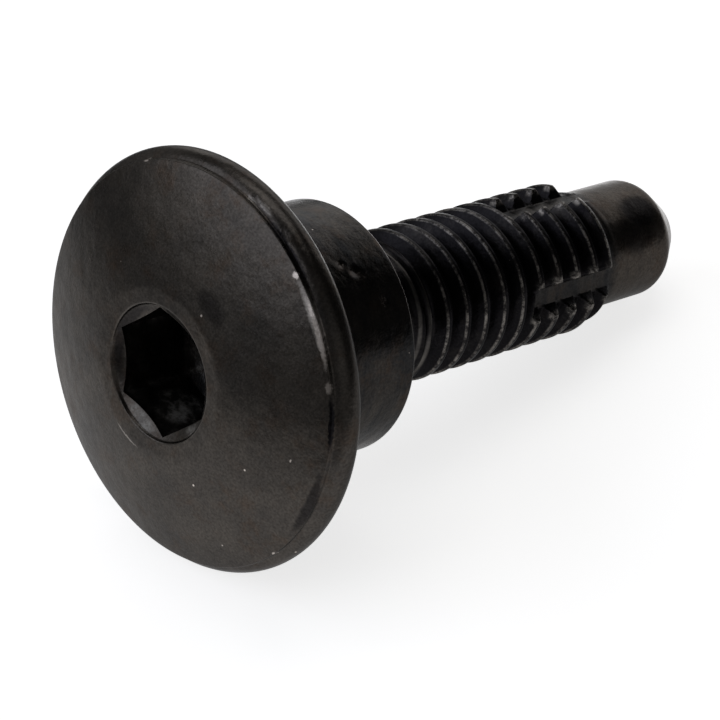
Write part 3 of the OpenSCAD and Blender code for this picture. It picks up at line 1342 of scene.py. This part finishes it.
@dataclass
class Studio:
    """The pale floor, the soft light and the camera."""

    floor_m: float = 3.0
    board: str = "#f2f1f0"
    # Reflections see painted light and shade on the board: a darker board far out, a glowing pool
    # round the screw, a shade spot in front and a glare spot to the right.
    painted_shade_board: str = "#8a8886"
    painted_falloff_mm: tuple[float, float] = (20.0, 60.0)
    painted_pool_level: float = 0.55
    fill_level: float = 0.75
    painted_shade_spot: PaintedFloorSpot = PaintedFloorSpot((10.0, -16.0, 0.0), 26.0, 0.4, 0.5)
    painted_glare_spot: PaintedFloorSpot = PaintedFloorSpot((26.0, 12.0, 0.0), 18.0, 0.6, 1.5)
    pale_deg: float = 100.0
    pale_facing: tuple[float, float] = (-0.3, 0.6)
    pale_level: tuple[float, float] = (0.04, 0.33)
    high_rise: tuple[float, float] = (0.3, 0.55)
    high_level: float = 0.35
    front_deg: float = -110.0
    front_rise: float = 0.3
    front_facing: tuple[float, float] = (0.7, 0.97)
    front_level: float = 0.2
    lens_mm: float = 164.6
    sensor_mm: float = 36.0
    clip_m: tuple[float, float] = (0.005, 20.0)
    elevation_deg: float = 37.4
    azimuth_deg: float = -42.98
    distance_mm: float = 114.0
    target_mm: tuple[float, float, float] = (-6.205, -4.026, 7.720)
    boxes: tuple[SoftBox, ...] = (
        SoftBox("left_box", 150, 37, 340, 190, 1.15, "#eef3ff"),
        SoftBox("top_box", 50, 74, 240, 150, 1.1, "#ffffff"),
        SoftBox("back_card", 30, 18, 400, 190, 0.75, "#ffffff"),
    )

    def floor(self) -> bpy.types.Object:
        """Lays the floor, which is white to the eye, pale in reflections and still takes shadow.

        Reflections also see painted light and shade on it: it glows round the screw and in a glare
        spot, and it is darker far out and under a shade spot.

        Returns:
            The floor's object.
        """
        corners = [(-1, -1, 0), (1, -1, 0), (1, 1, 0), (-1, 1, 0)]
        mesh = bpy.data.meshes.new("floor")
        mesh.from_pydata([Vector(c) * self.floor_m for c in corners], [], [(0, 1, 2, 3)])
        made = bpy.data.objects.new("floor", mesh)
        bpy.context.scene.collection.objects.link(made)
        material = bpy.data.materials.new("matt_white_board")
        material.use_nodes = True
        tree = material.node_tree
        tree.nodes.clear()
        add = partial(add_node, tree)
        ray = add("ShaderNodeLightPath").outputs
        place = add("ShaderNodeTexCoord").outputs["Object"]
        far = add("ShaderNodeVectorMath", [place], operation="LENGTH").outputs["Value"]
        # Painted shade for reflections: the board darkens far from the screw and under the shade
        # spot.
        painted_shade_share = [far, *[edge * MM for edge in self.painted_falloff_mm]]
        painted_shade_share = [add("ShaderNodeMapRange", painted_shade_share), self.painted_shade_spot.share(tree, place)]
        painted_shade_share = add("ShaderNodeMath", painted_shade_share, operation="MAXIMUM")
        dim = add("ShaderNodeMath", [painted_shade_share, ray["Is Glossy Ray"]], operation="MULTIPLY")
        colour = {0: dim, 6: linear(self.board), 7: linear(self.painted_shade_board)}
        colour = add("ShaderNodeMix", colour, data_type="RGBA").outputs[2]
        board = add("ShaderNodeBsdfDiffuse", {"Color": colour})
        # Painted light for reflections: the board glows round the screw and in the glare spot,
        # though no lamp lights it there.
        pool = {"Value": painted_shade_share, "To Min": self.painted_pool_level, "To Max": 0.0}
        pool = [add("ShaderNodeMapRange", pool), self.painted_glare_spot.share(tree, place)]
        pool = add("ShaderNodeMath", pool, operation="ADD")
        pool = add("ShaderNodeMath", [pool, ray["Is Glossy Ray"]], operation="MULTIPLY")
        fill = [ray["Is Camera Ray"], self.fill_level, pool]
        fill = add("ShaderNodeMath", fill, operation="MULTIPLY_ADD")
        glow = add("ShaderNodeEmission", {"Color": WHITE, "Strength": fill})
        both = add("ShaderNodeAddShader", [board, glow])
        add("ShaderNodeOutputMaterial", {"Surface": both})
        mesh.materials.append(material)
        return made

    def world(self) -> None:
        """Sets the room: pale and low behind on the left, dark on the right, white to the camera."""
        world = bpy.data.worlds.new("studio_room")
        bpy.context.scene.world = world
        world.use_nodes = True
        tree = world.node_tree
        tree.nodes.clear()
        add = partial(add_node, tree)
        way = add("ShaderNodeTexCoord").outputs["Generated"]
        rise = add("ShaderNodeSeparateXYZ", [way]).outputs["Z"]
        facing = []
        for turn_deg, up in ((self.pale_deg, 0.0), (self.front_deg, self.front_rise)):
            to = Vector((cos(radians(turn_deg)), sin(radians(turn_deg)), up)).normalized()
            dot = add("ShaderNodeVectorMath", [way, to], operation="DOT_PRODUCT")
            facing.append(dot.outputs["Value"])
        levels = []
        for value, (low, high), (least, most) in (
            (facing[0], self.pale_facing, self.pale_level),
            (rise, self.high_rise, (1.0, self.high_level)),
            (facing[1], self.front_facing, (0.0, self.front_level)),
        ):
            levels.append(add("ShaderNodeMapRange", [value, low, high, least, most]))
        level = add("ShaderNodeMath", levels, operation="MULTIPLY_ADD")
        room = add("ShaderNodeBackground", {"Color": WHITE, "Strength": level})
        white = add("ShaderNodeBackground", {"Color": WHITE, "Strength": 1.0})
        ray = add("ShaderNodeLightPath").outputs
        mixed = add("ShaderNodeMixShader", [ray["Is Camera Ray"], room, white])
        add("ShaderNodeOutputWorld", {"Surface": mixed})

    def camera(self) -> None:
        """Sets the camera at the angle and distance of the photograph."""
        e = radians(self.elevation_deg)
        a = radians(self.azimuth_deg)
        back = Vector((sin(a) * cos(e), -cos(a) * cos(e), sin(e)))
        data = bpy.data.cameras.new("camera")
        data.lens = self.lens_mm
        data.sensor_width = self.sensor_mm
        data.clip_start, data.clip_end = self.clip_m
        made = bpy.data.objects.new("camera", data)
        bpy.context.scene.collection.objects.link(made)
        made.location = (Vector(self.target_mm) + back * self.distance_mm) * MM
        made.rotation_euler = (-back).to_track_quat("-Z", "Y").to_euler()
        bpy.context.scene.camera = made

    def build(self) -> None:
        """Sets up the whole studio."""
        self.floor()
        self.world()
        for box in self.boxes:
            box.hang()
        self.camera()
        bpy.context.scene.view_settings.view_transform = "Standard"


def main() -> None:
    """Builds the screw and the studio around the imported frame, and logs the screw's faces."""
    logging.basicConfig(level=logging.INFO, format="%(name)s: %(message)s")
    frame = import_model()
    seat = Seat.from_record(frame["record"])
    low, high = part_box(NODE)
    screw = Screw(seat, (high.y - low.y) / 2 / MM).build()
    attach(screw, BODY)
    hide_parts(NODE)
    log.info("%s: %d faces", screw.name, len(screw.data.polygons))
    Studio().build()
    log.info("studio: floor, room, soft boxes and camera")


if __name__ == "__main__":
    main()
